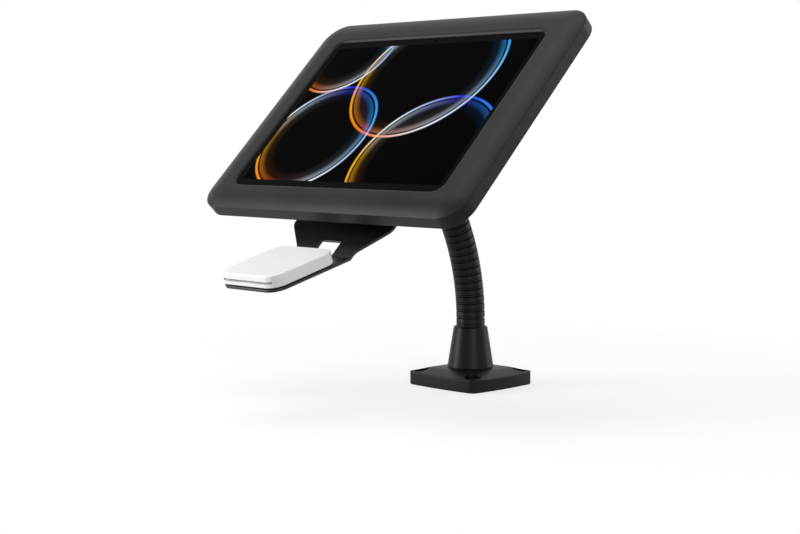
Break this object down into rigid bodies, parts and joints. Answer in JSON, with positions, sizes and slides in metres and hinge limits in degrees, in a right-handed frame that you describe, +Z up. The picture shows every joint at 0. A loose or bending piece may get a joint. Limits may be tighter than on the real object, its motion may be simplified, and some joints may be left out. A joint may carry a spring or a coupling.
{
  "type": "tablet kiosk stand",
  "caption": "Tablet kiosk stand: a lockable enclosure frames a tablet, tilted on a bendable ribbed neck above a square screw-down base, with a card reader on a bent bracket.",
  "frame": {"origin": "middle of the underside of the base plate", "axes": "+X to the right as the screen is read, -Y the front, +Z up"},
  "size_m": [0.3018, 0.2955, 0.3173],
  "materials": {
    "powder_black": "satin black powder coat on steel",
    "powder_charcoal": "fine-grained charcoal powder coat on aluminium",
    "steel": "plain steel",
    "brass": "turned brass",
    "foam": "soft foam rubber",
    "white_plastic": "satin white plastic",
    "circuit_board": "green solder mask",
    "battery_wrap": "grey wrap",
    "tablet_metal": "fine-blasted grey",
    "cover_glass": "polished glass with a black printed border",
    "display": "dark display panel"
  },
  "bodies": {
    "base": {"base_plate": "powder_black", "base_collar": "powder_black", "neck_lower_fitting": "steel", "base_washer": "steel", "base_nut": "steel", "collar_grub_screw": "steel", "neck_link_01": "powder_black"},
    "link_02": {"neck_link_02": "powder_black"},
    "link_03": {"neck_link_03": "powder_black"},
    "link_04": {"neck_link_04": "powder_black"},
    "link_05": {"neck_link_05": "powder_black"},
    "link_06": {"neck_link_06": "powder_black"},
    "link_07": {"neck_link_07": "powder_black"},
    "link_08": {"neck_link_08": "powder_black"},
    "link_09": {"neck_link_09": "powder_black"},
    "link_10": {"neck_link_10": "powder_black"},
    "link_11": {"neck_link_11": "powder_black"},
    "link_12": {"neck_link_12": "powder_black"},
    "link_13": {"neck_link_13": "powder_black"},
    "link_14": {"neck_link_14": "powder_black"},
    "link_15": {"neck_link_15": "powder_black"},
    "link_16": {"neck_link_16": "powder_black"},
    "link_17": {"neck_link_17": "powder_black"},
    "link_18": {"neck_link_18": "powder_black"},
    "link_19": {"neck_link_19": "powder_black"},
    "link_20": {"neck_link_20": "powder_black"},
    "link_21": {"neck_link_21": "powder_black"},
    "link_22": {"neck_link_22": "powder_black"},
    "link_23": {"neck_link_23": "powder_black"},
    "head": {"neck_link_24": "powder_black", "head_collar": "powder_black", "head_plate": "powder_black", "flange_screws": "steel", "plate_screws": "steel", "plate_inserts": "brass", "reader_bracket": "powder_black", "reader_pad": "foam", "reader_bottom_shell": "white_plastic", "reader_top_shell": "white_plastic", "reader_board": "circuit_board", "reader_battery": "battery_wrap", "reader_usb_socket": "steel", "rear_shell": "powder_charcoal", "front_frame": "powder_charcoal", "support_pads": "foam", "tablet_housing": "tablet_metal", "tablet_glass": "cover_glass", "display_panel": "display", "tablet_battery": "battery_wrap", "tablet_board": "circuit_board", "front_camera": "cover_glass", "lock_body": "steel", "lock_nut": "steel"},
    "lock": {"lock_plug": "brass", "lock_cam": "steel"},
    "power_button": {"power_button": "tablet_metal"},
    "volume_up_button": {"volume_up_button": "tablet_metal"},
    "volume_down_button": {"volume_down_button": "tablet_metal"},
    "reader_button": {"reader_button": "white_plastic"}
  },
  "joints": [
    {"name": "neck_nod", "type": "hinge", "parent": "base", "child": "link_02", "pos_m": [0, 0, 0.05893], "axis": [1, 0, 0], "range_deg": [-3.75, 1.25]},
    {"name": "neck_lean", "type": "hinge", "parent": "link_02", "child": "link_03", "pos_m": [0, -0.00023, 0.06556], "axis": [0, 0.9987, 0.0512], "range_deg": [-2.25, 2.25]},
    {"name": "neck_nod_03", "type": "hinge", "parent": "link_03", "child": "link_04", "pos_m": [0, -0.00068, 0.07217], "axis": [1, 0, 0], "range_deg": [-3.75, 1.25]},
    {"name": "neck_lean_04", "type": "hinge", "parent": "link_04", "child": "link_05", "pos_m": [0, -0.00136, 0.07877], "axis": [0, 0.9929, 0.1192], "range_deg": [-2.25, 2.25]},
    {"name": "neck_nod_05", "type": "hinge", "parent": "link_05", "child": "link_06", "pos_m": [0, -0.00226, 0.08533], "axis": [1, 0, 0], "range_deg": [-3.75, 1.25]},
    {"name": "neck_lean_06", "type": "hinge", "parent": "link_06", "child": "link_07", "pos_m": [0, -0.00339, 0.09187], "axis": [0, 0.9824, 0.1867], "range_deg": [-2.25, 2.25]},
    {"name": "neck_nod_07", "type": "hinge", "parent": "link_07", "child": "link_08", "pos_m": [0, -0.00473, 0.09836], "axis": [1, 0, 0], "range_deg": [-3.75, 1.25]},
    {"name": "neck_lean_08", "type": "hinge", "parent": "link_08", "child": "link_09", "pos_m": [0, -0.0063, 0.1048], "axis": [0, 0.9674, 0.2533], "range_deg": [-2.25, 2.25]},
    {"name": "neck_nod_09", "type": "hinge", "parent": "link_09", "child": "link_10", "pos_m": [0, -0.00809, 0.11119], "axis": [1, 0, 0], "range_deg": [-3.75, 1.25]},
    {"name": "neck_lean_10", "type": "hinge", "parent": "link_10", "child": "link_11", "pos_m": [0, -0.0101, 0.1175], "axis": [0, 0.9478, 0.3187], "range_deg": [-2.25, 2.25]},
    {"name": "neck_nod_11", "type": "hinge", "parent": "link_11", "child": "link_12", "pos_m": [0, -0.01232, 0.12375], "axis": [1, 0, 0], "range_deg": [-3.75, 1.25]},
    {"name": "neck_lean_12", "type": "hinge", "parent": "link_12", "child": "link_13", "pos_m": [0, -0.01475, 0.12992], "axis": [0, 0.9239, 0.3827], "range_deg": [-2.25, 2.25]},
    {"name": "neck_nod_13", "type": "hinge", "parent": "link_13", "child": "link_14", "pos_m": [0, -0.01739, 0.136], "axis": [1, 0, 0], "range_deg": [-3.75, 1.25]},
    {"name": "neck_lean_14", "type": "hinge", "parent": "link_14", "child": "link_15", "pos_m": [0, -0.02024, 0.14199], "axis": [0, 0.8956, 0.4448], "range_deg": [-2.25, 2.25]},
    {"name": "neck_nod_15", "type": "hinge", "parent": "link_15", "child": "link_16", "pos_m": [0, -0.02329, 0.14787], "axis": [1, 0, 0], "range_deg": [-3.75, 1.25]},
    {"name": "neck_lean_16", "type": "hinge", "parent": "link_16", "child": "link_17", "pos_m": [0, -0.02654, 0.15365], "axis": [0, 0.8632, 0.5049], "range_deg": [-2.25, 2.25]},
    {"name": "neck_nod_17", "type": "hinge", "parent": "link_17", "child": "link_18", "pos_m": [0, -0.02999, 0.15932], "axis": [1, 0, 0], "range_deg": [-3.75, 1.25]},
    {"name": "neck_lean_18", "type": "hinge", "parent": "link_18", "child": "link_19", "pos_m": [0, -0.03362, 0.16486], "axis": [0, 0.8267, 0.5626], "range_deg": [-2.25, 2.25]},
    {"name": "neck_nod_19", "type": "hinge", "parent": "link_19", "child": "link_20", "pos_m": [0, -0.03744, 0.17028], "axis": [1, 0, 0], "range_deg": [-3.75, 1.25]},
    {"name": "neck_lean_20", "type": "hinge", "parent": "link_20", "child": "link_21", "pos_m": [0, -0.04145, 0.17556], "axis": [0, 0.7864, 0.6178], "range_deg": [-2.25, 2.25]},
    {"name": "neck_nod_21", "type": "hinge", "parent": "link_21", "child": "link_22", "pos_m": [0, -0.04564, 0.1807], "axis": [1, 0, 0], "range_deg": [-3.75, 1.25]},
    {"name": "neck_lean_22", "type": "hinge", "parent": "link_22", "child": "link_23", "pos_m": [0, -0.04999, 0.1857], "axis": [0, 0.7424, 0.67], "range_deg": [-2.25, 2.25]},
    {"name": "neck_nod_23", "type": "hinge", "parent": "link_23", "child": "head", "pos_m": [0, -0.05452, 0.19055], "axis": [1, 0, 0], "range_deg": [-3.75, 1.25]},
    {"name": "lock_turn", "type": "hinge", "parent": "head", "child": "lock", "pos_m": [0.13, -0.09021, 0.22624], "axis": [0, -0.7071, 0.7071], "range_deg": [0, 90]},
    {"name": "power_button_press", "type": "slide", "parent": "head", "child": "power_button", "axis": [-1, 0, 0], "range_m": [0, 0.00035], "stiffness_N_per_m": 2000, "springref_m": -0.0003},
    {"name": "volume_up_button_press", "type": "slide", "parent": "head", "child": "volume_up_button", "axis": [0, -0.7071, -0.7071], "range_m": [0, 0.00035], "stiffness_N_per_m": 2000, "springref_m": -0.0003},
    {"name": "volume_down_button_press", "type": "slide", "parent": "head", "child": "volume_down_button", "axis": [0, -0.7071, -0.7071], "range_m": [0, 0.00035], "stiffness_N_per_m": 2000, "springref_m": -0.0003},
    {"name": "reader_button_press", "type": "slide", "parent": "head", "child": "reader_button", "axis": [1, 0, 0], "range_m": [0, 0.00035], "stiffness_N_per_m": 2000, "springref_m": -0.0003}
  ],
  "couplings": [
    {"joint": "neck_nod_03", "follows": "neck_nod", "ratio": 1},
    {"joint": "neck_lean_04", "follows": "neck_lean", "ratio": 1},
    {"joint": "neck_nod_05", "follows": "neck_nod", "ratio": 1},
    {"joint": "neck_lean_06", "follows": "neck_lean", "ratio": 1},
    {"joint": "neck_nod_07", "follows": "neck_nod", "ratio": 1},
    {"joint": "neck_lean_08", "follows": "neck_lean", "ratio": 1},
    {"joint": "neck_nod_09", "follows": "neck_nod", "ratio": 1},
    {"joint": "neck_lean_10", "follows": "neck_lean", "ratio": 1},
    {"joint": "neck_nod_11", "follows": "neck_nod", "ratio": 1},
    {"joint": "neck_lean_12", "follows": "neck_lean", "ratio": 1},
    {"joint": "neck_nod_13", "follows": "neck_nod", "ratio": 1},
    {"joint": "neck_lean_14", "follows": "neck_lean", "ratio": 1},
    {"joint": "neck_nod_15", "follows": "neck_nod", "ratio": 1},
    {"joint": "neck_lean_16", "follows": "neck_lean", "ratio": 1},
    {"joint": "neck_nod_17", "follows": "neck_nod", "ratio": 1},
    {"joint": "neck_lean_18", "follows": "neck_lean", "ratio": 1},
    {"joint": "neck_nod_19", "follows": "neck_nod", "ratio": 1},
    {"joint": "neck_lean_20", "follows": "neck_lean", "ratio": 1},
    {"joint": "neck_nod_21", "follows": "neck_nod", "ratio": 1},
    {"joint": "neck_lean_22", "follows": "neck_lean", "ratio": 1},
    {"joint": "neck_nod_23", "follows": "neck_nod", "ratio": 1}
  ]
}
